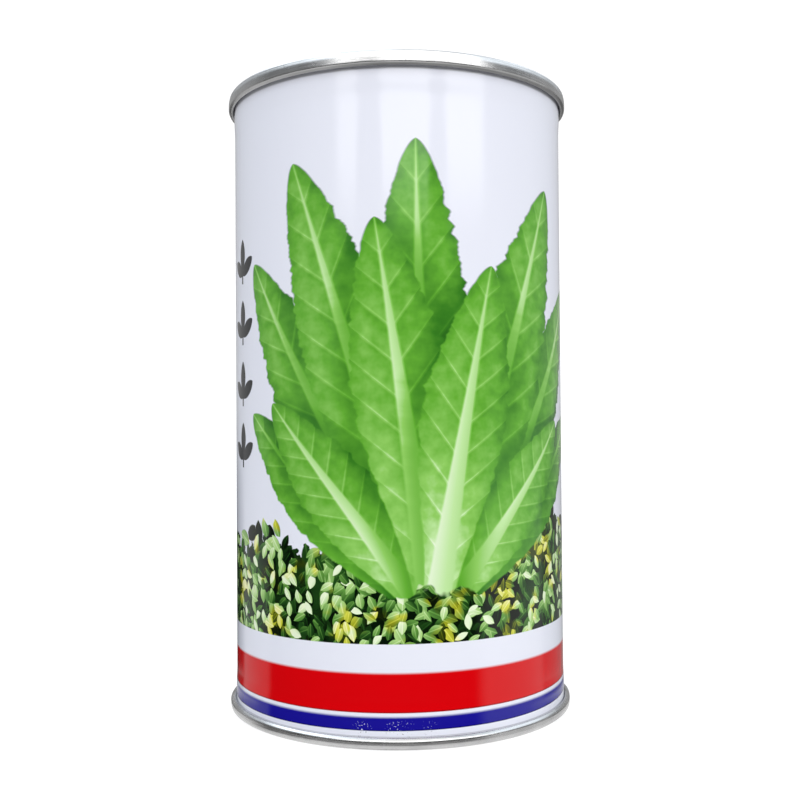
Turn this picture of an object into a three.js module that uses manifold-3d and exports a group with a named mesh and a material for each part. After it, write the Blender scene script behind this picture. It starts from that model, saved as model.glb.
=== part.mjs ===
// Sealed tin of vegetable seed: a welded tinplate body, closed by a double-seamed end at the top and the bottom.
// Millimetres, +Z up. The origin is the centre of the ring that the tin stands on, and -Y is its front.

import * as THREE from "three";
import { mergeVertices } from "three/addons/utils/BufferGeometryUtils.js";
import Module from "manifold-3d";

// Driving dimensions
const TIN_HEIGHT = 121.2;
const BODY_INNER_RADIUS = 32.65;
const BODY_PLATE = 0.24;
const END_PLATE = 0.26;
const LAYER_GAP = 0.1;
const ROUND_SIDES = 48;

// The body widens by this much between two depths below each rim, where the seaming chuck has pressed it out
const FLARE = 0.12;
const FLARE_FROM_DEPTH = 8.0;
const FLARE_TO_DEPTH = 4.5;

// Centre radius of each layer of a double seam, from the inside out
const BODY_INNER_AT_SEAM = BODY_INNER_RADIUS + FLARE;
const LAYER_PITCH = END_PLATE / 2 + LAYER_GAP + BODY_PLATE / 2;
const BODY_WALL_RADIUS = BODY_INNER_AT_SEAM + BODY_PLATE / 2;
const CHUCK_WALL_RADIUS = BODY_WALL_RADIUS - LAYER_PITCH;
const COVER_HOOK_RADIUS = BODY_WALL_RADIUS + LAYER_PITCH;
const BODY_HOOK_RADIUS = COVER_HOOK_RADIUS + LAYER_PITCH;
const SEAMING_WALL_RADIUS = BODY_HOOK_RADIUS + LAYER_PITCH;

// Bends of both seams, and how far the wall of a seam bows out
const CROWN_BEND = 0.45;
const SEAM_BULGE = 0.08;
const FOLD_BEND = 0.14;

// The seam of each end, by its height, the room for compound under its crown, and the depths below the rim of the
// end of its wall and the edge of the body's hook. The seam at the foot is a low one.
const TOP_SEAM = seamOf({ height: 2.8, compoundSpace: 0.35, wallEnd: 2.15, bodyHookEnd: 2.08 });
const FOOT_SEAM = seamOf({ height: 2.1, compoundSpace: 0.3, wallEnd: 1.7, bodyHookEnd: 1.55 });

// Adds the depth of the body's fold, and of the edge of the cover hook, which ends inside that fold
function seamOf(seam) {
  const bodyFold = END_PLATE + seam.compoundSpace + BODY_PLATE / 2 + LAYER_PITCH;
  return { ...seam, bodyFold, coverHookEnd: bodyFold + 0.02 };
}

// Panel of an end: a flat centre, a round bead, a raised ring and the countersink groove
const PANEL_DEPTH = 3.5;
const BEAD_RADIUS = 15.2;
const BEAD_TOP_WIDTH = 1.6;
const BEAD_HEIGHT = 0.45;
const RING_INNER_RADIUS = 25.2;
const RING_OUTER_RADIUS = 30.9;
const RING_HEIGHT = 0.5;
const SLOPE_WIDTH = 1.0;
const GROOVE_RADIUS = 31.85;
const GROOVE_BEND = 0.45;
const GROOVE_CENTRE_DEPTH = 3.4;

// Lap weld down the body on the +X side, proud of the plate inside and out
const WELD_WIDTH = 0.9;
const WELD_PROUD = 0.1;
const WELD_MARGIN = 8.0;

// Seed inside, heaped a little at the middle
const SEED_WALL_GAP = 0.35;
const SEED_FLOOR_GAP = 0.4;
const SEED_EDGE_HEIGHT = 106;
const SEED_HEAP = 2.5;

const litho = new THREE.MeshStandardMaterial({ color: 0xe9ecf5, roughness: 0.22, metalness: 0.0 });
const tinplate = new THREE.MeshStandardMaterial({ color: 0xb4b4b2, roughness: 0.35, metalness: 1.0 });
const compound = new THREE.MeshStandardMaterial({ color: 0x7f8b84, roughness: 0.8, metalness: 0.0 });
const seed = new THREE.MeshStandardMaterial({ color: 0x80623a, roughness: 0.9, metalness: 0.0 });

const wasm = await Module();
wasm.setup();

// A bend about a centre, as one or two arcs of a quarter turn or a little less. Angles count from +r towards +y.
function bend(path, r, y, radius, from, to) {
  const quarters = Math.round(Math.abs(to - from) / (Math.PI / 2));
  const step = (to - from) / quarters;
  for (let i = 0; i < quarters; i += 1) {
    path.absarc(r, y, radius, from + i * step, from + (i + 1) * step, step < 0);
  }
}

// Points of a path, with two chords to each arc and none of them twice
function pointsOf(path) {
  const all = path.getPoints(1);
  return all.filter((p, i) => i === 0 || p.distanceTo(all[i - 1]) > 1e-6);
}

// Centre line of the body plate near one rim, with y = 0 at the rim: hook, fold, wall and flare
function bodyHalfLine(seam) {
  const flareMiddle = (FLARE_FROM_DEPTH + FLARE_TO_DEPTH) / 2;
  const wall = BODY_INNER_RADIUS + BODY_PLATE / 2;
  const path = new THREE.Path();
  path.moveTo(BODY_HOOK_RADIUS, -seam.bodyHookEnd);
  path.lineTo(BODY_HOOK_RADIUS, -seam.bodyFold);
  bend(path, COVER_HOOK_RADIUS, -seam.bodyFold, LAYER_PITCH, 0, Math.PI);
  path.lineTo(BODY_WALL_RADIUS, -FLARE_TO_DEPTH);
  path.lineTo(wall + FLARE / 2, -flareMiddle);
  path.lineTo(wall, -FLARE_FROM_DEPTH);
  return pointsOf(path);
}

// Centre line of an end plate, with y = 0 at the rim: panel, countersink, chuck wall, crown, wall, shoulder and hook
function endLine(seam) {
  const beadInner = BEAD_RADIUS - BEAD_TOP_WIDTH / 2;
  const beadOuter = BEAD_RADIUS + BEAD_TOP_WIDTH / 2;
  const ringTop = RING_HEIGHT - PANEL_DEPTH;
  const crownDepth = END_PLATE / 2 + CROWN_BEND;
  const bulgeDepth = (crownDepth + seam.wallEnd) / 2;
  const fold = new THREE.Vector2(COVER_HOOK_RADIUS + FOLD_BEND, FOLD_BEND + END_PLATE / 2 - seam.height);
  const reach = new THREE.Vector2(SEAMING_WALL_RADIUS, -seam.wallEnd).sub(fold);
  const shoulderTilt = Math.atan2(reach.y, reach.x) - Math.acos(FOLD_BEND / reach.length());
  const path = new THREE.Path();
  path.moveTo(0, -PANEL_DEPTH);
  path.lineTo(beadInner - SLOPE_WIDTH, -PANEL_DEPTH);
  path.lineTo(beadInner, BEAD_HEIGHT - PANEL_DEPTH);
  path.lineTo(beadOuter, BEAD_HEIGHT - PANEL_DEPTH);
  path.lineTo(beadOuter + SLOPE_WIDTH, -PANEL_DEPTH);
  path.lineTo(RING_INNER_RADIUS - SLOPE_WIDTH, -PANEL_DEPTH);
  path.lineTo(RING_INNER_RADIUS, ringTop);
  path.lineTo(RING_OUTER_RADIUS, ringTop);
  path.lineTo(GROOVE_RADIUS - GROOVE_BEND, -GROOVE_CENTRE_DEPTH);
  bend(path, GROOVE_RADIUS, -GROOVE_CENTRE_DEPTH, GROOVE_BEND, Math.PI, 2 * Math.PI);
  path.lineTo(CHUCK_WALL_RADIUS, -crownDepth);
  bend(path, CHUCK_WALL_RADIUS + CROWN_BEND, -crownDepth, CROWN_BEND, Math.PI, Math.PI / 2);
  bend(path, SEAMING_WALL_RADIUS - CROWN_BEND, -crownDepth, CROWN_BEND, Math.PI / 2, 0);
  path.lineTo(SEAMING_WALL_RADIUS + SEAM_BULGE, -bulgeDepth);
  path.lineTo(SEAMING_WALL_RADIUS, -seam.wallEnd);
  bend(path, fold.x, fold.y, FOLD_BEND, shoulderTilt, -Math.PI);
  path.lineTo(COVER_HOOK_RADIUS, -seam.coverHookEnd);
  return pointsOf(path);
}

// Section of the sealing compound that lies between the crown of an end and the fold of the body
function compoundSection(seam) {
  const roof = -END_PLATE - LAYER_GAP / 2;
  const inner = COVER_HOOK_RADIUS - CROWN_BEND / 2;
  const outer = BODY_HOOK_RADIUS + LAYER_GAP;
  const floor = -END_PLATE - seam.compoundSpace + LAYER_GAP / 2;
  return [
    new THREE.Vector2(inner, floor),
    new THREE.Vector2(COVER_HOOK_RADIUS, floor),
    new THREE.Vector2(outer, floor - LAYER_GAP),
    new THREE.Vector2(outer, roof - CROWN_BEND / 2),
    new THREE.Vector2(outer - CROWN_BEND / 2, roof),
    new THREE.Vector2(inner, roof),
  ];
}

// Outline of a plate of even thickness about its centre line: out along one side and back along the other
function plateOutline(line, thickness) {
  const side = (sign) =>
    line.map((point, i) => {
      const before = line[Math.max(i - 1, 0)];
      const after = line[Math.min(i + 1, line.length - 1)];
      const into = point.clone().sub(before).normalize();
      const out = after.clone().sub(point).normalize();
      if (i === 0) into.copy(out);
      if (i === line.length - 1) out.copy(into);
      const along = into.clone().add(out).normalize();
      const mitre = thickness / 2 / along.dot(into);
      return new THREE.Vector2(point.x - sign * along.y * mitre, point.y + sign * along.x * mitre);
    });
  return [...side(-1), ...side(1).reverse()];
}

// Solid of revolution about Z of an outline in (r, z) that runs anticlockwise and may have an edge on the axis
function turned(outline) {
  const onAxis = Math.abs(outline[0].x) < 1e-9;
  const profile = onAxis ? outline : [...outline, outline[0]];
  const geometry = new THREE.LatheGeometry(profile, ROUND_SIDES);
  return geometry.rotateX(Math.PI / 2);
}

// An outline with y = 0 at the rim, set at the top of the tin, or turned over at its foot
function atTop(outline) {
  return outline.map((p) => new THREE.Vector2(p.x, p.y + TIN_HEIGHT));
}

function atFoot(outline) {
  return outline.map((p) => new THREE.Vector2(p.x, -p.y)).reverse();
}

function solidOf(geometry) {
  const bare = geometry.clone();
  bare.deleteAttribute("normal");
  bare.deleteAttribute("uv");
  const merged = mergeVertices(bare);
  return new wasm.Manifold(
    new wasm.Mesh({
      numProp: 3,
      vertProperties: merged.attributes.position.array,
      triVerts: new Uint32Array(merged.index.array),
    }),
  );
}

function geometryOf(solid) {
  const mesh = solid.getMesh();
  const geometry = new THREE.BufferGeometry();
  geometry.setAttribute("position", new THREE.BufferAttribute(mesh.vertProperties, 3));
  geometry.setIndex(new THREE.BufferAttribute(mesh.triVerts, 1));
  geometry.computeVertexNormals();
  return geometry;
}

// The body: one plate rolled into a tube, hooked outwards at both rims and lap-welded on its +X side
function tinBody() {
  const line = [...atTop(bodyHalfLine(TOP_SEAM)), ...atFoot(bodyHalfLine(FOOT_SEAM))];
  const tube = turned(plateOutline(line, BODY_PLATE));
  const depth = BODY_PLATE + 2 * WELD_PROUD;
  const weld = new THREE.BoxGeometry(depth, WELD_WIDTH, TIN_HEIGHT - 2 * WELD_MARGIN);
  weld.translate(BODY_INNER_RADIUS + BODY_PLATE / 2, 0, TIN_HEIGHT / 2);
  return geometryOf(solidOf(tube).add(solidOf(weld)));
}

// The seed: a plug with a heaped top that lies on the bottom end
function seedFill() {
  const radius = BODY_INNER_RADIUS - SEED_WALL_GAP;
  const floor = GROOVE_CENTRE_DEPTH + GROOVE_BEND + END_PLATE / 2 + SEED_FLOOR_GAP;
  const top = SEED_EDGE_HEIGHT + SEED_HEAP;
  return turned([
    new THREE.Vector2(0, floor),
    new THREE.Vector2(radius, floor),
    new THREE.Vector2(radius, SEED_EDGE_HEIGHT),
    new THREE.Vector2(radius * 0.7, SEED_EDGE_HEIGHT + SEED_HEAP * 0.5),
    new THREE.Vector2(radius * 0.35, SEED_EDGE_HEIGHT + SEED_HEAP * 0.88),
    new THREE.Vector2(0, top),
  ]);
}

const tin = new THREE.Group();
tin.name = "seed_tin";

function addPiece(name, geometry, material) {
  const mesh = new THREE.Mesh(geometry, material);
  mesh.name = name;
  tin.add(mesh);
}

addPiece("tin_body", tinBody(), litho);
addPiece("top_end", turned(atTop(plateOutline(endLine(TOP_SEAM), END_PLATE))), tinplate);
addPiece("bottom_end", turned(atFoot(plateOutline(endLine(FOOT_SEAM), END_PLATE))), tinplate);
addPiece("top_seal", turned(atTop(compoundSection(TOP_SEAM))), compound);
addPiece("bottom_seal", turned(atFoot(compoundSection(FOOT_SEAM))), compound);
addPiece("seed_fill", seedFill(), seed);

export default tin;
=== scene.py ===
"""A sealed seed tin, dressed round its CAD frame: printed body, lap weld, seamed ends, contents and stage."""

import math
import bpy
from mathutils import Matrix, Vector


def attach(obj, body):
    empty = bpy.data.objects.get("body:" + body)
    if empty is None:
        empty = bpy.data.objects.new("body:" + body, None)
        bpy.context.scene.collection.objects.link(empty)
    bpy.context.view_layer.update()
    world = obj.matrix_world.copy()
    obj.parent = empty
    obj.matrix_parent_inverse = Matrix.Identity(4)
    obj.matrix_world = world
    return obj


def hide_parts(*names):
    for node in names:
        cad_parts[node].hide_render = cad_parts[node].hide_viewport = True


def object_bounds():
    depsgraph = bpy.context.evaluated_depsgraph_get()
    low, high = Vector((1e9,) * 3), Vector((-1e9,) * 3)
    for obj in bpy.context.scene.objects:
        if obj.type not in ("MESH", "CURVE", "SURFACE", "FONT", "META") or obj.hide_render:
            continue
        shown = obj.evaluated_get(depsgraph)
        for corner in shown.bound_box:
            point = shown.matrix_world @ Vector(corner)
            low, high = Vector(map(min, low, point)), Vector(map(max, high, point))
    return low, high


bl_info = {
    "name": "Seed Tin",
    "version": (1, 0, 0),
    "blender": (4, 5, 0),
    "location": "View3D > Sidebar > Seed Tin",
    "description": "Models the printed body, the lap weld, both seamed ends and the contents of a seed tin",
    "category": "Add Mesh",
}

import bpy
from bpy.props import FloatProperty, FloatVectorProperty, PointerProperty
from mathutils import Vector

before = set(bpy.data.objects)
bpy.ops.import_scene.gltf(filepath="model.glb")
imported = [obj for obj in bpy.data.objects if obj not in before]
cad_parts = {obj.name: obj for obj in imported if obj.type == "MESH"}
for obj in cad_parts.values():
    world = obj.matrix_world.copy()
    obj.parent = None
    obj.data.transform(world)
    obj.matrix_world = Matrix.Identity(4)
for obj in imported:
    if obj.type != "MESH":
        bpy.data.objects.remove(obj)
CAD_LOW, CAD_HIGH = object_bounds()

MM = 0.001
TIN_HEIGHT = CAD_HIGH.z
SPIN_STEPS = 256
ARC_STEPS = 8
MERGE_DISTANCE = 0.001 * MM
SMOOTH_ANGLE = math.radians(38)
# Drop of the edge of an end's hook below the centre of the body's fold
HOOK_DROP = 0.02 * MM
# Share of a seam's wall, from its crown down, that leans in
LEAN_SHARE = 0.5
SENSOR_WIDTH = 36.0
WHITE = (1.0, 1.0, 1.0, 1.0)
BLACK = (0.0, 0.0, 0.0, 1.0)


def ink(red, green, blue):
    """The linear colour of an ink that is named by its red, green and blue on screen."""

    def linear(level):
        share = level / 255
        return share / 12.92 if share <= 0.04045 else ((share + 0.055) / 1.055) ** 2.4

    return (linear(red), linear(green), linear(blue), 1.0)


def scaled(shade, factor):
    """A colour made darker or lighter by a factor."""
    return tuple(min(1.0, part * factor) for part in shade[:3]) + (1.0,)


def length(name, description, millimetres):
    """A length setting, given in millimetres and kept in metres."""
    return FloatProperty(
        name=name, description=description, default=millimetres * MM, unit="LENGTH", precision=5
    )


def colour(name, description, red, green, blue):
    """A colour setting, given as it looks on screen."""
    shade = ink(red, green, blue)
    return FloatVectorProperty(
        name=name, description=description, default=shade, size=4, subtype="COLOR", min=0.0, max=1.0
    )


def share(name, description, default):
    """A setting between none and all."""
    return FloatProperty(
        name=name, description=description, default=default, min=0.0, max=1.0, subtype="FACTOR"
    )


def light_level(name, description, default):
    """A brightness setting."""
    return FloatProperty(name=name, description=description, default=default, min=0.0)


class TinSizes(bpy.types.PropertyGroup):
    """Sizes of the CAD solids, with rounder bends at the seams. Depths count from the nearer rim."""

    bore_radius: length("Bore radius", "Inside radius of the body", 32.65)
    body_plate: length("Body plate", "Thickness of the body plate", 0.24)
    end_plate: length("End plate", "Thickness of the plate of both ends", 0.26)
    layer_gap: length("Layer gap", "Gap between the folded plates of a seam", 0.1)
    flare: length("Flare", "How far the body widens towards each seam", 0.12)
    flare_start: length("Flare start", "Depth at which the body starts to widen", 8.0)
    flare_end: length("Flare end", "Depth at which the body is fully widened", 4.5)
    top_seam: length("Top seam", "Height of the top seam", 2.8)
    top_compound: length("Top compound", "Room for lining compound under the top seam's crown", 0.35)
    top_wall_end: length("Top wall end", "Depth at which the top seam's wall ends", 2.1)
    top_bow: length("Top bow", "How far the top seam's wall leans in at its crown", 0.13)
    top_hook_end: length("Top hook end", "Depth of the edge of the body's hook in the top seam", 2.0)
    foot_seam: length("Foot seam", "Height of the low seam at the foot", 2.1)
    foot_compound: length("Foot compound", "Room for lining compound in the seam at the foot", 0.3)
    foot_wall_end: length("Foot wall end", "Depth at which the wall of the seam at the foot ends", 1.42)
    foot_bow: length("Foot bow", "How far the wall of the seam at the foot leans in at its crown", 0.05)
    foot_hook_end: length("Foot hook end", "Depth of the edge of the body's hook at the foot", 1.5)
    crown_bend: length("Crown bend", "Bend radius at both edges of a seam's crown", 0.45)
    seam_bulge: length("Seam bulge", "How far a seam's wall stands out where it is widest", 0.06)
    wall_bend: length("Wall bend", "Bend radius between a seam's wall and its shoulder", 0.4)
    fold_bend: length("Fold bend", "Bend radius of the fold", 0.24)
    panel_depth: length("Panel depth", "Depth of an end's flat panel", 3.5)
    bead_radius: length("Bead radius", "Radius of the round bead on an end", 15.2)
    bead_width: length("Bead width", "Width of the bead's flat top", 1.6)
    bead_height: length("Bead height", "Height of the bead over the panel", 0.45)
    ring_inner: length("Ring inner radius", "Inner radius of the raised ring on an end", 25.2)
    ring_outer: length("Ring outer radius", "Outer radius of the raised ring on an end", 30.9)
    ring_height: length("Ring height", "Height of the raised ring over the panel", 0.5)
    step_width: length("Step width", "Width of each sloped step on an end", 1.0)
    groove_radius: length("Groove radius", "Radius of the countersink groove", 31.85)
    groove_bend: length("Groove bend", "Bend radius at the foot of the groove", 0.45)
    groove_depth: length("Groove depth", "Depth of the centre of the groove's bend", 3.4)
    weld_width: length("Weld width", "Width of the lap weld", 0.9)
    weld_proud: length("Weld proud", "How far the lap weld stands out of the plate", 0.1)
    weld_margin: length("Weld margin", "Distance from each rim to the end of the weld", 8.0)
    droop: length("Fold droop", "How far a seam's fold sags where the weld runs into it", 0.14)


class PrintLook(bpy.types.PropertyGroup):
    """Inks of the print and the heights of its bands"""

    white: colour("White", "White base coat", 232, 234, 245)
    red: colour("Red", "Band near the foot", 214, 2, 10)
    blue: colour("Blue", "Stripe at the foot", 24, 18, 145)
    sprig: colour("Sprig ink", "Small sprigs beside the leaves", 34, 36, 40)
    red_low: length("Red, low edge", "Lower edge of the red band", 6.15)
    red_high: length("Red, high edge", "Upper edge of the red band", 12.98)
    blue_low: length("Blue, low edge", "Lower edge of the blue stripe", 3.1)
    blue_high: length("Blue, high edge", "Upper edge of the blue stripe", 5.47)
    hedge_low: length("Hedge, low edge", "Straight lower edge of the hedge", 17.98)
    hedge_high: length("Hedge height", "Mean height of the hedge's top", 38.0)
    fan_centre: length("Fan centre", "Distance round the body from its front to the fan's middle", 6.0)
    fan_foot: length("Fan foot", "Height at which the leaves meet", 21.0)
    skew: FloatProperty(
        name="Skew",
        description="Rise of the print for each length round the body, rolled a little askew",
        default=0.007,
    )
    bare_margin: length("Bare margin", "Width of bare plate on each side of the weld", 2.6)
    varnish_roughness: share("Varnish roughness", "Roughness of the clear varnish", 0.1)


class MetalLook(bpy.types.PropertyGroup):
    """Looks of the bare plate, the lacquer, the compound and the seed"""

    tinplate: colour("Tinplate", "Bare tinplate", 208, 208, 208)
    lacquer: colour("Lacquer", "Gold lacquer inside the body", 205, 160, 80)
    compound: colour("Compound", "Lining compound in the seams", 128, 138, 130)
    husk: colour("Seed husk", "Husk of the seed", 122, 92, 54)
    roll_roughness: share("Plate roughness", "Mean roughness of the bare plate", 0.24)


class StudioLook(bpy.types.PropertyGroup):
    """Camera, floor and lights of the stage"""

    camera_place: FloatVectorProperty(
        name="Camera place",
        description="Where the camera stands",
        default=(0.0, -211.85 * MM, 57.43 * MM),
        subtype="TRANSLATION",
        unit="LENGTH",
    )
    camera_turn: FloatVectorProperty(
        name="Camera turn",
        description="Turn of the camera, which looks along +Y, a little up and rolled a little",
        default=(math.radians(90.897), math.radians(0.393), math.radians(-0.077)),
        subtype="EULER",
        unit="ROTATION",
    )
    focal_length: FloatProperty(
        name="Focal length", description="Lens in millimetres, for the sensor's width", default=46.45
    )
    softbox: light_level("Softbox", "Brightness of the light overhead", 0.2)
    sky: light_level("Sky", "Brightness of the open sky in front", 2.6)
    glow: light_level("Floor glow", "Light that the floor gives by itself", 0.72)
    floor: colour("Floor", "Pale floor and sweep", 150, 150, 150)


# Sections of the plates

def arc(line, centre, radius, start, end, steps=ARC_STEPS):
    """Adds an arc to a line in (r, z), from one angle to another in degrees, without its first point."""
    for step in range(1, steps + 1):
        angle = math.radians(start + (end - start) * step / steps)
        line.append((centre[0] + radius * math.cos(angle), centre[1] + radius * math.sin(angle)))


def ease(line, end, upright=False):
    """Adds an S-shaped run from a line's last point to another, level at both ends, or upright at both."""
    first = line[-1]
    for step in range(1, ARC_STEPS + 1):
        even = step / ARC_STEPS
        eased = (1 - math.cos(math.pi * even)) / 2
        over, rise = (eased, even) if upright else (even, eased)
        line.append((first[0] + (end[0] - first[0]) * over, first[1] + (end[1] - first[1]) * rise))


class Seam:
    """Depths of one seam below its rim, and the centre radius of each of its plates from the inside out"""

    def __init__(self, size, end):
        self.height = getattr(size, end + "_seam")
        self.wall_end = getattr(size, end + "_wall_end")
        self.bow = getattr(size, end + "_bow")
        self.hook_end = getattr(size, end + "_hook_end")
        self.pitch = size.end_plate / 2 + size.layer_gap + size.body_plate / 2
        self.body_wall = size.bore_radius + size.flare + size.body_plate / 2
        self.chuck_wall = self.body_wall - self.pitch
        self.cover_hook = self.body_wall + self.pitch
        self.body_hook = self.cover_hook + self.pitch
        self.seaming_wall = self.body_hook + self.pitch
        compound = getattr(size, end + "_compound")
        self.fold_depth = size.end_plate + compound + size.body_plate / 2 + self.pitch
        self.cover_hook_end = self.fold_depth + HOOK_DROP


def body_half_line(size, seam):
    """Centre line of the body plate near one rim: hook, fold, wall and flare, with z = 0 at the rim."""
    line = [(seam.body_hook, -seam.hook_end), (seam.body_hook, -seam.fold_depth)]
    arc(line, (seam.cover_hook, -seam.fold_depth), seam.pitch, 0, 180)
    line.append((seam.body_wall, -size.flare_end))
    ease(line, (size.bore_radius + size.body_plate / 2, -size.flare_start), upright=True)
    return line


def end_line(size, seam):
    """Centre line of an end plate: panel, bead, ring, groove, chuck wall, crown, seaming wall and hook."""
    bead_in = size.bead_radius - size.bead_width / 2
    bead_out = size.bead_radius + size.bead_width / 2
    bead_top = size.bead_height - size.panel_depth
    ring_top = size.ring_height - size.panel_depth
    crown_depth = size.end_plate / 2 + size.crown_bend
    crest_depth = seam.height - size.end_plate / 2
    fold_centre = Vector((seam.cover_hook + size.fold_bend, size.fold_bend - crest_depth))
    widest = seam.seaming_wall + size.seam_bulge
    crown_edge = widest - seam.bow
    wall_centre = Vector((widest - size.wall_bend, -seam.wall_end))
    reach = wall_centre - fold_centre
    spread = math.acos((size.fold_bend - size.wall_bend) / reach.length)
    shoulder_turn = math.degrees(math.atan2(reach.y, reach.x) - spread)
    line = [(0.0, -size.panel_depth), (bead_in - size.step_width, -size.panel_depth)]
    ease(line, (bead_in, bead_top))
    line.append((bead_out, bead_top))
    ease(line, (bead_out + size.step_width, -size.panel_depth))
    line.append((size.ring_inner - size.step_width, -size.panel_depth))
    ease(line, (size.ring_inner, ring_top))
    line.append((size.ring_outer - size.groove_bend, ring_top))
    ease(line, (size.groove_radius - size.groove_bend, -size.groove_depth))
    arc(line, (size.groove_radius, -size.groove_depth), size.groove_bend, 180, 360)
    line.append((seam.chuck_wall, -crown_depth))
    arc(line, (seam.chuck_wall + size.crown_bend, -crown_depth), size.crown_bend, 180, 90)
    line.append((crown_edge - size.crown_bend, -size.end_plate / 2))
    arc(line, (crown_edge - size.crown_bend, -crown_depth), size.crown_bend, 90, 0)
    for step in range(1, ARC_STEPS + 1):
        down = step / ARC_STEPS
        lean = seam.bow * (1 - math.sin(math.pi / 2 * min(1.0, down / LEAN_SHARE)))
        line.append((widest - lean, -crown_depth - (seam.wall_end - crown_depth) * down))
    arc(line, wall_centre, size.wall_bend, 0, shoulder_turn)
    arc(line, fold_centre, size.fold_bend, shoulder_turn, shoulder_turn, 1)
    arc(line, fold_centre, size.fold_bend, shoulder_turn, -180)
    line.append((seam.cover_hook, -seam.cover_hook_end))
    return line


def plate_outline(line, thickness):
    """Outline of a plate about its centre line: out along one side and back along the other."""
    points = [Vector(point) for point in line]
    sides = ([], [])
    for index, point in enumerate(points):
        into = (point - points[index - 1]).normalized() if index else None
        onward = (points[index + 1] - point).normalized() if index + 1 < len(points) else into
        into = into or onward
        along = (into + onward).normalized()
        mitre = thickness / 2 / along.dot(into)
        normal = Vector((-along.y, along.x)) * mitre
        sides[0].append(point - normal)
        sides[1].append(point + normal)
    return sides[0] + sides[1][::-1]


def at_top(line):
    """Sets a line that counts from a rim at the top of the tin."""
    return [(r, z + TIN_HEIGHT) for r, z in line]


def at_foot(line):
    """Sets a line that counts from a rim at the foot of the tin, turned over."""
    return [(r, -z) for r, z in line]


# Mesh work

def start_piece(name, add, **settings):
    """Adds a primitive with nothing else selected, and goes into edit mode with all of it selected."""
    bpy.ops.object.select_all(action="DESELECT")
    add(**settings)
    piece = bpy.context.object
    piece.name = name
    piece.data.name = name
    bpy.ops.object.mode_set(mode="EDIT")
    bpy.ops.mesh.select_mode(type="VERT")
    bpy.ops.mesh.select_all(action="SELECT")
    return piece


def end_piece(piece):
    """Merges doubles, turns all faces outwards and leaves edit mode, with curved stretches shaded smooth."""
    bpy.ops.mesh.select_all(action="SELECT")
    bpy.ops.mesh.remove_doubles(threshold=MERGE_DISTANCE)
    bpy.ops.mesh.normals_make_consistent(inside=False)
    bpy.ops.object.mode_set(mode="OBJECT")
    bpy.ops.object.shade_smooth_by_angle(angle=SMOOTH_ANGLE)
    return piece


def pick_vertices(piece, test):
    """Selects, in edit mode, the vertices that pass a test of their place."""
    bpy.ops.mesh.select_all(action="DESELECT")
    bpy.ops.object.mode_set(mode="OBJECT")
    piece.data.vertices.foreach_set("select", [test(vertex.co) for vertex in piece.data.vertices])
    bpy.ops.object.mode_set(mode="EDIT")


def spin_plate(name, outline):
    """Draws a plate's section point by point, closed unless it ends on the axis, and spins it round."""
    piece = start_piece(name, bpy.ops.mesh.primitive_plane_add, size=MM, calc_uvs=False)
    bpy.ops.mesh.merge(type="CENTER")
    here = Vector((outline[0][0], 0.0, outline[0][1]))
    bpy.ops.transform.translate(value=here)
    on_axis = outline[0][0] < MERGE_DISTANCE
    for r, z in outline[1:] if on_axis else [*outline[1:], outline[0]]:
        there = Vector((r, 0.0, z))
        bpy.ops.mesh.extrude_vertices_move(TRANSFORM_OT_translate={"value": there - here})
        here = there
    bpy.ops.mesh.select_all(action="SELECT")
    bpy.ops.mesh.remove_doubles(threshold=MERGE_DISTANCE)
    bpy.ops.mesh.select_all(action="SELECT")
    bpy.ops.mesh.spin(
        steps=SPIN_STEPS, angle=2 * math.pi, center=(0, 0, 0), axis=(0, 0, 1), use_auto_merge=True
    )
    return piece


def lean_out(face):
    """How far a face looks away from the tin's axis: above 0 outwards, below 0 inwards."""
    return face.normal.x * face.center.x + face.normal.y * face.center.y


def unroll(piece):
    """Lays the body out flat in its own map: the outside across most of it, the inside along its foot."""
    layer = piece.data.uv_layers.new(name="OFBake")
    inside_share = 0.2
    margin = 0.05
    for face in piece.data.polygons:
        outside = lean_out(face) > 0
        middle = math.atan2(face.center.y, face.center.x) % (2 * math.pi)
        for corner in face.loop_indices:
            place = piece.data.vertices[piece.data.loops[corner].vertex_index].co
            angle = math.atan2(place.y, place.x) % (2 * math.pi)
            if angle - middle > math.pi:
                angle -= 2 * math.pi
            elif middle - angle > math.pi:
                angle += 2 * math.pi
            height = place.z / TIN_HEIGHT
            outer_row = inside_share + (1 - inside_share) * height
            inner_row = inside_share * (1 - margin) * height
            layer.data[corner].uv = (angle / (2 * math.pi), outer_row if outside else inner_row)


def dress(piece, material, slot, *nodes):
    """Gives a finished piece its material and its body, and hides the CAD nodes that it stands for. The slot
    is not used.
    """
    piece.data.materials.clear()
    piece.data.materials.append(material)
    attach(piece, "root")
    if nodes:
        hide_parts(*nodes)


# Shaders

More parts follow.
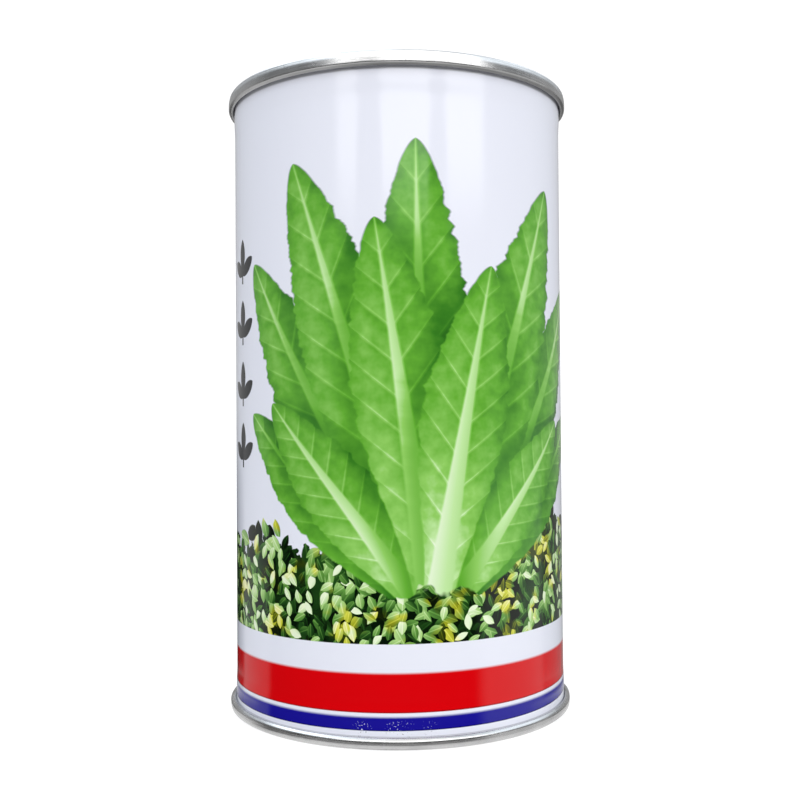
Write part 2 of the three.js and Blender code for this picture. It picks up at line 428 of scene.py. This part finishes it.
class Wire:
    """The output of a shader node. Arithmetic on it adds Math nodes."""

    def __init__(self, tree, socket=None):
        self.tree = tree
        self.socket = socket

    def node(self, kind, sockets=None, output=0, stops=None, **settings):
        """Adds a node: its settings first, then the values or links of its sockets."""
        made = self.tree.nodes.new("ShaderNode" + kind)
        for name, setting in settings.items():
            setattr(made, name, setting)
        if stops:
            ramp = made.color_ramp.elements
            while len(ramp) < len(stops):
                ramp.new(1.0)
            for element, (position, shade) in zip(ramp, stops):
                element.position = position
                element.color = shade
        for key, value in (sockets or {}).items():
            if isinstance(value, Wire):
                self.tree.links.new(value.socket, made.inputs[key])
            else:
                made.inputs[key].default_value = value
        return Wire(self.tree, made.outputs[output])

    def other(self, output):
        """Another output of the same node."""
        return Wire(self.tree, self.socket.node.outputs[output])

    def math(self, operation, *values):
        return self.node("Math", dict(enumerate(values)), operation=operation)

    def __add__(self, other):
        return self.math("ADD", self, other)

    def __radd__(self, other):
        return self.math("ADD", other, self)

    def __sub__(self, other):
        return self.math("SUBTRACT", self, other)

    def __rsub__(self, other):
        return self.math("SUBTRACT", other, self)

    def __mul__(self, other):
        return self.math("MULTIPLY", self, other)

    def __rmul__(self, other):
        return self.math("MULTIPLY", other, self)

    def __truediv__(self, other):
        return self.math("DIVIDE", self, other)

    def __pow__(self, other):
        return self.math("POWER", self, other)

    def __abs__(self):
        return self.math("ABSOLUTE", self)

    def larger(self, other):
        return self.math("MAXIMUM", self, other)

    def smooth(self, low, high):
        """A soft step from 0 at low to 1 at high."""
        ends = {"Value": self, "From Min": low, "From Max": high}
        return self.node("MapRange", ends, interpolation_type="SMOOTHSTEP")

    def within(self, low, high, soft):
        """A band that is 1 between two levels, with soft edges."""
        return self.smooth(low - soft / 2, low + soft / 2) * self.smooth(high + soft / 2, high - soft / 2)

    def wrap(self, low, high):
        """This value, repeated between two levels."""
        return self.math("WRAP", self, high, low)

    def parts(self):
        """The three parts of a vector."""
        split = self.node("SeparateXYZ", {0: self})
        return split, split.other(1), split.other(2)

    def place(self, x, y, z=0.0):
        """A vector from three values."""
        return self.node("CombineXYZ", {0: x, 1: y, 2: z})

    def noise(self, scale, detail=2.0, roughness=0.5):
        """Noise at this place."""
        sockets = {"Vector": self, "Scale": scale, "Detail": detail, "Roughness": roughness}
        return self.node("TexNoise", sockets)

    def over(self, below, mask):
        """This value where the mask is 1, and the one below where it is 0."""
        return below + mask * (self - below)

    def mix(self, first, second, blend="MIX"):
        """The first colour where this is 0 and the second where it is 1."""
        return self.node("Mix", {0: self, 6: first, 7: second}, 2, data_type="RGBA", blend_type=blend)

    def ramp(self, stops):
        """The colour at this place on a ramp."""
        return self.node("ValToRGB", {0: self}, stops=stops)

    def bump(self, strength, distance):
        """A normal bent by this height."""
        return self.node("Bump", {"Height": self, "Strength": strength, "Distance": distance})


def blank_material(name, **constants):
    """A new material, the place on its piece as a wire, and its Principled shader with constants set."""
    material = bpy.data.materials.new(name)
    material.use_nodes = True
    shader = material.node_tree.nodes["Principled BSDF"]
    for socket, value in constants.items():
        shader.inputs[socket.replace("_", " ")].default_value = value
    spot = Wire(material.node_tree).node("TexCoord", output="Object")
    return material, spot, shader


def feed(shader, **wires):
    """Links wires to a shader's sockets, whose names have _ for a space."""
    for socket, wire in wires.items():
        wire.tree.links.new(wire.socket, shader.inputs[socket.replace("_", " ")])


# Leaves of the print, from back to front: lean in degrees, length and half width in millimetres, and curl
FAN_LEAVES = [
    (-41, 53, 8.5, -0.5),
    (44, 55, 8.5, 0.6),
    (-27, 75, 10.5, -0.35),
    (30, 73, 10.5, 0.4),
    (-3, 85, 11.5, 0.15),
    (-16, 86, 11.5, -0.2),
    (17, 83, 12.0, 0.25),
    (-34, 50, 8.5, -0.5),
    (37, 47, 8.5, 0.5),
    (-7, 72, 11.0, -0.12),
    (9, 64, 10.5, 0.15),
]
LEAF_VEINS = 11.0
VEIN_SLANT = 0.16
NOTCH_DEPTH = 0.34
RIB_AT_FOOT = 0.275
RIB_AT_TIP = 0.035
LEAF_GREENS = [
    (0.0, ink(16, 58, 20)),
    (0.22, ink(54, 122, 32)),
    (0.45, ink(98, 170, 52)),
    (0.68, ink(142, 202, 96)),
    (0.86, ink(192, 230, 162)),
    (1.0, ink(238, 247, 226)),
]
HEDGE_GREENS = [
    (0.0, ink(5, 22, 5)),
    (0.25, ink(34, 76, 26)),
    (0.5, ink(98, 152, 66)),
    (0.75, ink(176, 214, 134)),
    (1.0, ink(232, 244, 212)),
]
HEDGE_YELLOWS = [
    (0.0, ink(12, 22, 4)),
    (0.25, ink(62, 78, 14)),
    (0.5, ink(158, 164, 36)),
    (0.75, ink(216, 218, 78)),
    (1.0, ink(244, 244, 186)),
]
# Layers of small leaves in the hedge, from back to front: cell in millimetres, lightness, and drop of the top
HEDGE_LAYERS = [(4.4, 0.2, 0.0), (3.5, 0.33, 1.2), (2.9, 0.5, 3.0), (2.4, 0.67, 5.0)]
# Wave of the hedge's top in millimetres, turn of its leaves in radians, and spread of their lightness
HEDGE_WAVE = 22
HEDGE_TURN = 2.6
HEDGE_TONES = 0.95
# Cells by which each layer reads its pattern from another place
LAYER_SHIFT = 17.3
# Scuffs in the stripe: place round the body, half width and core in millimetres, and strength
SCUFFS = [(-6.7, 2.0, 0.4, 1.0), (-0.4, 3.0, 0.6, 1.0), (5.2, 1.8, 0.3, 0.4)]
# Softness of the print's edges, in millimetres
RED_EDGE = 0.08
BLUE_EDGE = 0.05
HEDGE_EDGE = 0.06
LEAF_EDGE = 0.1
BARE_EDGE = 0.08
BLURRED_EDGE = 0.3


def fan_leaf(u, v, leaf, ripple):
    """One large leaf of the print: how far inside its edge a point lies, its mask and its lightness."""
    lean, reach, half, curl = leaf
    sine = math.sin(math.radians(lean))
    cosine = math.cos(math.radians(lean))
    along = u * (sine / reach) + v * (cosine / reach)
    side = u * (cosine / half) - v * (sine / half) - along * along * curl
    off = abs(side)
    left = (1 - along).larger(0.0)
    swell = along.smooth(0.05, 0.72)
    notch = u.place(along * reach * 0.4, off.math("SIGN", side) * 3.0 + lean).noise(1.0, 2.0)
    notches = (notch - 0.5) * swell * left.smooth(0.0, 0.2) * NOTCH_DEPTH
    edge = left ** 0.55 * (swell * 1.15 + 0.3) + notches
    inside = edge - off
    mask = inside.smooth(0.0, 0.05)
    vein_count = (along - off * VEIN_SLANT) * LEAF_VEINS
    wave = vein_count.math("FRACT", vein_count)
    vein = abs(wave - 0.5).smooth(0.4, 0.49) * inside.smooth(0.0, 0.4)
    blade = 0.98 - along.smooth(0.02, 0.62) * 0.44 - wave * 0.1 - side * 0.09
    blade = blade - inside.smooth(0.3, 0.0) * 0.12 + (ripple - 0.5) * 0.35 + vein * 0.14
    rib_width = left * (RIB_AT_FOOT - RIB_AT_TIP) + RIB_AT_TIP
    rib = (rib_width - off).smooth(0.0, 0.06)
    rib_light = 0.9 - side / rib_width * 0.09 - along * 0.1
    return inside, mask, rib_light.over(blade, rib)


def leaf_fan(u, v, ripple):
    """All large leaves: their lightness and the area that they cover."""
    _, cover, light = fan_leaf(u, v, FAN_LEAVES[0], ripple)
    for leaf in FAN_LEAVES[1:]:
        inside, mask, leaf_light = fan_leaf(u, v, leaf, ripple)
        shaded = light * (1 - inside.smooth(-0.55, 0.0) * 0.38)
        light = leaf_light.over(shaded, mask)
        cover = cover.larger(mask)
    return light, cover


def hedge_top(spot, around, high):
    """Height of the hedge's top, which rises and falls round the body."""
    return (spot.place(around, 0.0).noise(0.045, 1.0) - 0.5) * HEDGE_WAVE + high


def hedge_layer(spot, cell, lightness, high):
    """One layer of small leaves, one to a cell and each turned its own way: its mask and lightness."""
    shift = cell * LAYER_SHIFT
    spot = spot.node("VectorMath", {0: spot, 1: (shift, 0.0, 0.0)}, operation="ADD")
    centre = spot.node(
        "TexVoronoi",
        {"Vector": spot, "Scale": 1 / cell, "Randomness": 0.9},
        "Position",
        voronoi_dimensions="2D",
    )
    turn, tone, size = centre.other("Color").parts()
    across, rise, _ = spot.node("VectorMath", {0: spot, 1: centre}, operation="SUBTRACT").parts()
    angle = (turn - 0.5) * HEDGE_TURN
    cosine = angle.math("COSINE", angle)
    sine = angle.math("SINE", angle)
    side = (across * cosine - rise * sine) / cell
    along = (across * sine + rise * cosine) / cell
    width = (size * 0.12 + 0.26) * (1 - along * along * 2.6)
    mask = (width - abs(side)).smooth(0.0, 0.06)
    column, row, _ = centre.parts()
    kept = (hedge_top(spot, column - shift, high) - row).smooth(0.0, 0.01)
    rib = abs(side).smooth(0.05, 0.02) * 0.14
    light = (tone - 0.5) * HEDGE_TONES + lightness + rib - side * 0.4 + along * 0.16
    return mask * kept, light


def hedge(around, up, low, high):
    """The low hedge of small leaves: its ink and the area that it covers."""
    spot = around.place(around, up)
    gloom = spot.noise(0.5)
    light = 0.1 + gloom * 0.14
    cover = (hedge_top(spot, around, high) - up + (gloom - 0.5) * 7).smooth(3.2, 3.5)
    for cell, lightness, drop in HEDGE_LAYERS:
        mask, leaf_light = hedge_layer(spot, cell, lightness, high - drop)
        light = leaf_light.over(light, mask)
        cover = cover.larger(mask)
    clump = spot.noise(0.13, 1.0)
    light = light + (clump - 0.5) * 0.5 + (up - high) * 0.006
    sunlit = spot.noise(0.17, 2.0).smooth(0.5, 0.62)
    shade = sunlit.mix(light.ramp(HEDGE_GREENS), light.ramp(HEDGE_YELLOWS))
    return shade, cover * up.smooth(low - HEDGE_EDGE, low + HEDGE_EDGE)


def front_of_hedge(flat):
    """Uneven height up to which the hedge stands in front of the large leaves."""
    mean, wave = 26.5, 9
    return (flat.noise(0.2, 2.0) - 0.5) * wave + mean


def sprigs(u, v):
    """A short column of plain sprigs, each a stem with three small leaves: the area that they cover."""
    pitch, first, last, column, margin = 11.7, 46.5, 93.0, -43.2, 1.6
    rise = v.wrap(first, first + pitch) - (first + margin)
    side = abs(u - column)

    def drop(lean, reach, half, foot):
        """The area of a small leaf that leans away from the stem."""
        sine = math.sin(math.radians(lean))
        cosine = math.cos(math.radians(lean))
        over = rise - foot
        along = side * (sine / reach) + over * (cosine / reach)
        off = abs(side * (cosine / half) - over * (sine / half))
        return ((along * (1 - along) * 4).larger(0.0) ** 0.7 - off).smooth(0.0, 0.12)

    crown = drop(lean=0, reach=6.2, half=1.5, foot=2.4)
    pair = drop(lean=58, reach=5.8, half=1.4, foot=1.6)
    stem = side.smooth(0.42, 0.3) * rise.within(0.0, 3.0, 0.1)
    return crown.larger(pair).larger(stem) * v.within(first, last, 0.1)


def printed_band(up, low, high, edge):
    """The area of a plain band, crisp at its lower edge and blurred at its upper one."""
    crisp = up.smooth(low - edge, low + edge)
    blurred = up.smooth(high + BLURRED_EDGE, high - BLURRED_EDGE)
    return crisp * blurred


def trapped(shade, over_edge):
    """An ink that darkens along its lower edge, where it overlaps the next one."""
    return (over_edge.smooth(0.32, 0.1) * 0.8).mix(tuple(shade), scaled(shade, 0.35))


def leaf_print(flat, around, up, u, look):
    """Ink of the white coat with the hedge, the large leaves and the sprigs on it."""
    ripple = flat.noise(0.42, 2.0)
    leaf_light, leaf_cover = leaf_fan(u, up - look.fan_foot / MM, ripple)
    hedge_low = look.hedge_low / MM
    hedge_ink, hedge_cover = hedge(around, up, hedge_low, look.hedge_high / MM)
    in_front = (front_of_hedge(flat) - up).smooth(-BLURRED_EDGE, BLURRED_EDGE)
    leaf_cover = leaf_cover * (1 - in_front) * (up - hedge_low).smooth(0.0, LEAF_EDGE)
    tint = hedge_cover.mix(tuple(look.white), hedge_ink)
    tint = leaf_cover.mix(tint, leaf_light.ramp(LEAF_GREENS))
    return sprigs(u, up).mix(tint, tuple(look.sprig))


def striped(tint, flat, around, up, look):
    """An ink under the red band and the blue stripe, with scuffs in the stripe and grey wear below it."""
    red_low = look.red_low / MM
    red = printed_band(up, red_low, look.red_high / MM, RED_EDGE)
    tint = red.mix(tint, trapped(look.red, up - red_low))
    blue_low = look.blue_low / MM
    blue = printed_band(up, blue_low, look.blue_high / MM, BLUE_EDGE)
    patches = 0.0
    for place, half, core, strength in SCUFFS:
        patches = (abs(around - place).smooth(half, core) * strength).larger(patches)
    low_in_stripe = up.smooth(blue_low + 1.9, blue_low + 1.1)
    scuff = flat.noise(2.9, 2.0).smooth(0.62, 0.68) * patches * low_in_stripe
    tint = (blue * (1 - scuff * 0.8)).mix(tint, trapped(look.blue, up - blue_low))
    under_stripe = up.smooth(blue_low, blue_low - 0.2)
    worn = flat.noise(2.2, 2.0).smooth(0.6, 0.66) * patches * under_stripe
    return (worn * 0.7).mix(tint, ink(120, 118, 122))


def shade_under_seams(tint, height, size):
    """An ink with a line of painted shade along the crevice next to each seam."""
    top_gap = (TIN_HEIGHT - size.top_seam) / MM - height
    foot_gap = height - size.foot_seam / MM
    # Painted shade: darker just below the top seam and just above the seam at the foot
    seam_shade = top_gap.smooth(0.55, 0.1) * 0.55 + foot_gap.smooth(0.12, 0.0) * 0.35
    return seam_shade.mix(tint, ink(70, 68, 72))


def printed_tinplate(look, size):
    """White litho on tinplate under clear varnish, with a strip of bare plate along the weld."""
    material, spot, shader = blank_material("printed_tinplate", IOR=1.5)
    radius = (size.bore_radius + size.body_plate) / MM
    panel = math.pi * radius
    x, y, z = spot.parts()
    around = spot.math("ARCTAN2", y * -1, x * -1) * radius - panel / 2
    height = z * (1 / MM)
    up = height - around * look.skew
    u = (around - look.fan_centre / MM).wrap(-panel / 2, panel / 2)
    flat = spot.place(around, up)
    tint = leaf_print(flat, around, up, u, look)
    # Painted shade along the crevices at both seams
    tint = shade_under_seams(striped(tint, flat, around, up, look), height, size)

    from_weld = abs(y) * (1 / MM)
    bare_edge = look.bare_margin / MM
    bare = from_weld.smooth(bare_edge + BARE_EDGE, bare_edge - BARE_EDGE) * x.smooth(0.0, MM)
    plate = from_weld.smooth(1.6, 0.4).mix(ink(172, 172, 170), ink(120, 112, 104))
    tint = bare.mix(tint, plate)

    mottle = flat.noise(0.35, 3.0)
    haze = flat.noise(4.0, 3.0)
    roughness = look.varnish_roughness + (mottle - 0.5) * 0.05 + (haze - 0.5) * 0.04 + bare * 0.2
    waves = spot.noise(38.0, 1.0) * 0.03 + spot.noise(2600.0, 2.0) * 0.0004
    feed(shader, Base_Color=tint, Roughness=roughness, Metallic=bare, Normal=waves.bump(1.0, MM))
    return material


def gold_lacquer(look):
    """Thin gold lacquer over tinplate, with the plate's rolled grain showing through."""
    material, spot, shader = blank_material("gold_lacquer", Metallic=0.9)
    x, y, z = spot.parts()
    grain = spot.place(spot.math("ARCTAN2", y, x) * 900.0, z * 60.0).noise(1.0, 3.0)
    cloud = spot.noise(90.0, 3.0)
    thickness = ((grain - 0.5) * 0.5 + cloud).smooth(0.2, 0.8)
    feed(
        shader,
        Base_Color=thickness.mix(scaled(look.lacquer, 0.7), tuple(look.lacquer)),
        Roughness=0.3 + grain * 0.15,
        Normal=grain.bump(0.15, 0.02 * MM),
    )
    return material


def bare_tinplate(look, size):
    """Bare tinplate: grain on the panel, roll marks round the seam, dull smudges, painted shade under the top
    fold.
    """
    material, spot, shader = blank_material("bare_tinplate", Metallic=1.0)
    x, y, z = spot.parts()
    r = (x * x + y * y) ** 0.5
    angle = spot.math("ARCTAN2", y, x)
    seam = r.smooth(size.groove_radius, size.groove_radius + 0.6 * MM)
    fine, drawn_out = 9000.0, 260.0
    grain = spot.place(x * fine, y * drawn_out, z * drawn_out).noise(1.0, 3.0)
    marks = spot.place(angle * 5.0, z * fine, r * fine).noise(1.0, 4.0, 0.65)
    streak = marks.over(grain, seam)
    smudge = spot.noise(140.0, 3.0)
    pits = spot.noise(900.0, 2.0).smooth(0.68, 0.76)
    wear = ((streak - 0.5) * 0.9 + smudge - pits * 0.4).smooth(0.1, 0.75)
    tint = wear.mix(scaled(look.tinplate, 0.7), tuple(look.tinplate))
    # Painted shade in the crevice under the top fold, darker towards +X
    fold_soft = (size.top_seam - size.top_wall_end) * 0.4
    fold_start = size.top_wall_end + fold_soft
    under_fold = (TIN_HEIGHT - z).within(fold_start, size.top_seam * 1.2, fold_soft) * seam
    fold_shade = x * (0.2 / size.bore_radius) + 0.58
    feed(
        shader,
        Base_Color=(under_fold * fold_shade).mix(tint, ink(40, 40, 42)),
        Roughness=look.roll_roughness + (smudge - 0.5) * 0.16 + (streak - 0.5) * 0.14 + pits * 0.15,
        Normal=(streak - pits * 0.5).bump(0.35, 0.03 * MM),
    )
    return material


def weld_metal():
    """Heat-tinted weld: straw and brown tints across short ripples."""
    material, spot, shader = blank_material("weld_metal", Metallic=1.0)
    _, y, z = spot.parts()
    ripple = spot.place(0.0, y * 500.0, z * 1500.0).noise(1.0, 3.0)
    tint = spot.noise(300.0, 3.0)
    shade = tint.ramp([(0.3, ink(96, 88, 84)), (0.5, ink(150, 138, 120)), (0.7, ink(176, 172, 166))])
    feed(shader, Base_Color=shade, Roughness=0.35 + ripple * 0.25, Normal=ripple.bump(0.5, 0.04 * MM))
    return material


def lining_compound(look):
    """Rubbery lining compound, dull, with fine grit."""
    material, spot, shader = blank_material("lining_compound")
    cloud = spot.noise(400.0, 4.0)
    feed(
        shader,
        Base_Color=cloud.smooth(0.3, 0.7).mix(scaled(look.compound, 0.7), tuple(look.compound)),
        Roughness=0.7 + cloud * 0.2,
        Normal=spot.noise(6000.0, 2.0).bump(0.3, 0.05 * MM),
    )
    return material


def seed_husk(look):
    """Dry seed: brown husks, each a little lighter or darker, with fine ribs and painted shade in the gaps
    between them.
    """
    material, spot, shader = blank_material("seed_husk")
    grains = spot.node("TexVoronoi", {"Vector": spot, "Scale": 620.0}, "Distance")
    tone = grains.other("Color").parts()[0]
    shade = tone.mix(tuple(look.husk), scaled(look.husk, 1.7))
    feed(
        shader,
        # Painted shade: darker towards the edge of each grain, in the gaps between grains
        Base_Color=grains.smooth(0.35, 0.75).mix(shade, scaled(look.husk, 0.45)),
        Roughness=0.6 + tone * 0.25,
        Normal=(1 - grains).bump(0.8, 0.6 * MM),
    )
    return material


# Surroundings of the stage, in degrees of turn from straight in front and of rise over the horizon
# Dim arches in front of the sky: turn of the middle, half width and rise
ARCHES = ((-18.5, 10.5, 18.6), (27.5, 8.0, 17.4))
# First turn, last turn and soft edge of the open front, and of all that isn't behind the tin
OPEN_FRONT = (-41, 61, 8)
NOT_BEHIND = (-110, 95, 20)
# Lit ground: first turn, last turn, soft edge and level
LIT_GROUND = ((-138, -100, 6, 0.45), (56, 116, 12, 0.65), (100, 178, 4, 0.25))
# Level of what is neither lit nor open
DIM = 0.02


# Operators

class TIN_OT_stage(bpy.types.Operator):
    """Set up the camera, the pale floor, the backdrop and the lights"""

    bl_idname = "tin.stage"
    bl_label = "Stage"

    def execute(self, context):
        studio = context.scene.tin_studio
        self.camera(context, studio)
        self.floor(studio)
        self.backdrop()
        self.lights(context, studio)
        return {"FINISHED"}

    def camera(self, context, studio):
        """A camera in front of the tin, a little below its middle."""
        bpy.ops.object.camera_add(location=studio.camera_place, rotation=studio.camera_turn)
        camera = context.object
        camera.data.sensor_fit = "HORIZONTAL"
        camera.data.sensor_width = SENSOR_WIDTH
        camera.data.lens = studio.focal_length
        camera.data.clip_start = 10 * MM
        context.scene.camera = camera

    def floor(self, studio):
        """A floor that sweeps up behind the tin."""
        half, back, bend, wall, turn_steps = 1.6, 0.9, 0.5, 1.6, 12
        floor = start_piece("floor", bpy.ops.mesh.primitive_plane_add, size=2 * half)
        bpy.ops.transform.translate(value=(0, back - half, 0))
        pick_vertices(floor, lambda place: place.y > back - 10 * MM)
        run = bend * math.pi / 2 / turn_steps
        for step in range(turn_steps):
            angle = math.radians(90 * (step + 0.5) / turn_steps)
            move = (0, run * math.cos(angle), run * math.sin(angle))
            bpy.ops.mesh.extrude_edges_move(TRANSFORM_OT_translate={"value": move})
        bpy.ops.mesh.extrude_edges_move(TRANSFORM_OT_translate={"value": (0, 0, wall)})
        end_piece(floor)
        material, spot, shader = blank_material(
            "pale_floor", Roughness=0.9, Emission_Color=WHITE, Emission_Strength=studio.glow
        )
        feed(shader, Base_Color=spot.noise(12.0, 3.0).mix(tuple(studio.floor), scaled(studio.floor, 1.04)))
        floor.data.materials.append(material)
        floor.visible_glossy = False
        floor.visible_diffuse = False

    def backdrop(self):
        """A white wall all round, which only the camera sees."""
        ring = {"vertices": 48, "radius": 4.0, "depth": 8.0, "end_fill_type": "NOTHING"}
        wall = start_piece("backdrop", bpy.ops.mesh.primitive_cylinder_add, **ring)
        end_piece(wall)
        material, _, _ = blank_material("backdrop", Emission_Color=WHITE, Emission_Strength=1.0)
        wall.data.materials.append(material)
        wall.visible_diffuse = False
        wall.visible_glossy = False
        wall.visible_transmission = False
        wall.visible_shadow = False

    def lights(self, context, studio):
        """A soft light overhead, in an open place with a bright sky in front of the tin."""
        self.softbox(studio)
        world = bpy.data.worlds.new("open_place")
        world.use_nodes = True
        background = world.node_tree.nodes["Background"]
        background.inputs["Strength"].default_value = studio.sky
        feed(background, Color=self.surroundings(Wire(world.node_tree), studio.sky))
        context.scene.world = world
        context.scene.view_settings.view_transform = "Standard"

    def surroundings(self, start, sky_level):
        """Colour all round: sky over and between dim shapes in front, and lit ground elsewhere."""
        x, y, z = start.node("TexCoord", output="Generated").parts()
        turn = start.math("DEGREES", start.math("ARCTAN2", x, y * -1))
        rise = start.math("DEGREES", start.math("ARCSINE", z))
        skyline = 0.0
        for middle, half, top in ARCHES:
            arch = (1 - ((turn - middle) / half) ** 4).larger(0.0) ** 0.5 * top
            skyline = arch.larger(skyline)
        front = turn.within(*OPEN_FRONT)
        behind = 1 - turn.within(*NOT_BEHIND)
        sky = (rise - skyline).smooth(-0.8, 0.8) * rise.smooth(9, 14) * front
        side_level = 0.92 - turn * 0.0028
        side_sky = (rise + turn * 0.05).smooth(22, 46) * side_level
        zenith = 1 - rise.smooth(42, 70) * 0.5
        ground = 0.0
        for first, last, soft, ground_level in LIT_GROUND:
            ground = (turn.within(first, last, soft) * ground_level).larger(ground)
        lit_ground = ground * rise.smooth(2, -6)
        near_floor = rise.smooth(-15, -27) * (rise.smooth(-88, -65) * 0.6 + 0.4)
        near_floor = near_floor.larger(behind * rise.smooth(-13, -15) * 0.9)
        walls = (1 - front) * rise.smooth(-6, 2) * (behind * 0.16 + 0.24)
        level = lit_ground.larger(near_floor) + walls + DIM
        share_of_sky = (level * (1 / sky_level)).larger(sky.larger(side_sky) * zenith)
        paleness = (1 - front) * rise.smooth(15, 30)
        tint = paleness.mix(WHITE, ink(236, 246, 255))
        return share_of_sky.mix(BLACK, tint)

    def softbox(self, studio):
        """A wide soft light over the tin, out of the camera's sight."""
        side = 2.6
        overhead = (0, 0.1, 0.8)
        bpy.ops.object.light_add(type="AREA", location=overhead)
        light = bpy.context.object
        light.name = "softbox"
        light.data.shape = "RECTANGLE"
        light.data.size = side
        light.data.size_y = side
        light.data.energy = studio.softbox * math.pi * side * side
        light.visible_camera = False


class TIN_OT_body(bpy.types.Operator):
    """Spin the body plate, print it outside and lacquer it inside"""

    bl_idname = "tin.body"
    bl_label = "Body"

    def execute(self, context):
        size = context.scene.tin_sizes
        upper = body_half_line(size, Seam(size, "top"))
        lower = body_half_line(size, Seam(size, "foot"))
        line = at_top(upper) + at_foot(lower)[::-1]
        body = end_piece(spin_plate("printed_body", plate_outline(line, size.body_plate)))
        unroll(body)
        dress(body, printed_tinplate(context.scene.tin_print, size), "printed_tinplate", "tin_body")
        body.data.materials.append(gold_lacquer(context.scene.tin_metal))
        for face in body.data.polygons:
            face.material_index = 1 if lean_out(face) < 0 else 0
        return {"FINISHED"}


class TIN_OT_weld(bpy.types.Operator):
    """Lay the lap weld down the body, with its short ripples"""

    bl_idname = "tin.weld"
    bl_label = "Weld"

    def execute(self, context):
        size = context.scene.tin_sizes
        edge_bevel, end_gap, ripples, swell = 0.07 * MM, 0.1 * MM, 130, (1.05, 1.09, 1.0)
        run = TIN_HEIGHT - 2 * size.weld_margin
        middle = size.bore_radius + size.body_plate / 2
        depth = size.body_plate + 2 * size.weld_proud
        weld = start_piece("weld_lap", bpy.ops.mesh.primitive_cube_add, size=1.0, calc_uvs=False)
        bpy.ops.transform.resize(value=(depth, size.weld_width, run))
        bpy.ops.transform.translate(value=(middle, 0, TIN_HEIGHT / 2))
        bpy.ops.mesh.bevel(offset=edge_bevel, segments=3, affect="EDGES")
        low = size.weld_margin + end_gap
        pitch = (run - 2 * end_gap) / ripples
        for step in range(1, ripples):
            bpy.ops.mesh.select_all(action="SELECT")
            bpy.ops.mesh.bisect(plane_co=(0, 0, low + pitch * step), plane_no=(0, 0, 1))
        pick_vertices(weld, lambda place: round((place.z - low) / pitch) % 2)
        bpy.ops.transform.resize(value=swell, center_override=(middle, 0, 0))
        end_piece(weld)
        dress(weld, weld_metal(), "bare_tinplate")
        return {"FINISHED"}


class TIN_OT_ends(bpy.types.Operator):
    """Spin both seamed ends, with the fold sagging a little where the weld runs into each seam"""

    bl_idname = "tin.ends"
    bl_label = "Ends"

    def execute(self, context):
        size = context.scene.tin_sizes
        metal = bare_tinplate(context.scene.tin_metal, size)
        for node, seam, set_line, rim, inwards in (
            ("top_end", Seam(size, "top"), at_top, TIN_HEIGHT, -1),
            ("bottom_end", Seam(size, "foot"), at_foot, 0.0, 1),
        ):
            outline = plate_outline(set_line(end_line(size, seam)), size.end_plate)
            end = spin_plate("seamed_" + node, outline)
            self.sag_fold(end, size, seam, rim, inwards)
            end_piece(end)
            dress(end, metal, "bare_tinplate", node)
        return {"FINISHED"}

    def sag_fold(self, end, size, seam, rim, inwards):
        """Moves the fold near the weld towards the middle of the tin, column by column."""
        columns = 7
        column_angle = 2 * math.pi / SPIN_STEPS
        seam_start = size.groove_radius + MM
        for column in range(-columns, columns + 1):
            sag = size.droop * (1 + math.cos(math.pi * column / (columns + 1))) / 2

            def in_fold(place, column=column):
                if abs(place.z - rim) < seam.wall_end or math.hypot(place.x, place.y) < seam_start:
                    return False
                return abs(math.atan2(place.y, place.x) - column * column_angle) < column_angle / 4

            pick_vertices(end, in_fold)
            bpy.ops.transform.translate(value=(0, 0, inwards * sag))


class TIN_OT_contents(bpy.types.Operator):
    """Finish the lining compound and the seed"""

    bl_idname = "tin.contents"
    bl_label = "Contents"

    def execute(self, context):
        metal = context.scene.tin_metal
        compound = lining_compound(metal)
        for node in ("top_seal", "bottom_seal"):
            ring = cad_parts[node]
            ring.data.materials.clear()
            ring.data.materials.append(compound)
        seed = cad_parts["seed_fill"]
        seed.data.materials.clear()
        seed.data.materials.append(seed_husk(metal))
        return {"FINISHED"}


class TIN_PT_panel(bpy.types.Panel):
    """Steps and settings of the seed tin"""

    bl_idname = "TIN_PT_panel"
    bl_label = "Seed Tin"
    bl_space_type = "VIEW_3D"
    bl_region_type = "UI"
    bl_category = "Seed Tin"

    def draw(self, context):
        for step in STEPS:
            self.layout.operator(step.bl_idname)
        for settings in SETTINGS:
            group = getattr(context.scene, settings)
            box = self.layout.box()
            for name in group.__annotations__:
                box.prop(group, name)


SETTINGS = {
    "tin_sizes": TinSizes,
    "tin_print": PrintLook,
    "tin_metal": MetalLook,
    "tin_studio": StudioLook,
}
STEPS = (TIN_OT_stage, TIN_OT_body, TIN_OT_weld, TIN_OT_ends, TIN_OT_contents)


def register():
    for cls in (*SETTINGS.values(), *STEPS, TIN_PT_panel):
        bpy.utils.register_class(cls)
    for name, group in SETTINGS.items():
        setattr(bpy.types.Scene, name, PointerProperty(type=group))


def unregister():
    for name in SETTINGS:
        delattr(bpy.types.Scene, name)
    for cls in reversed((*SETTINGS.values(), *STEPS, TIN_PT_panel)):
        bpy.utils.unregister_class(cls)


def main():
    """Registers the add-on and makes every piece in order."""
    register()
    bpy.ops.tin.stage()
    bpy.ops.tin.body()
    bpy.ops.tin.weld()
    bpy.ops.tin.ends()
    bpy.ops.tin.contents()


if __name__ == "__main__":
    main()
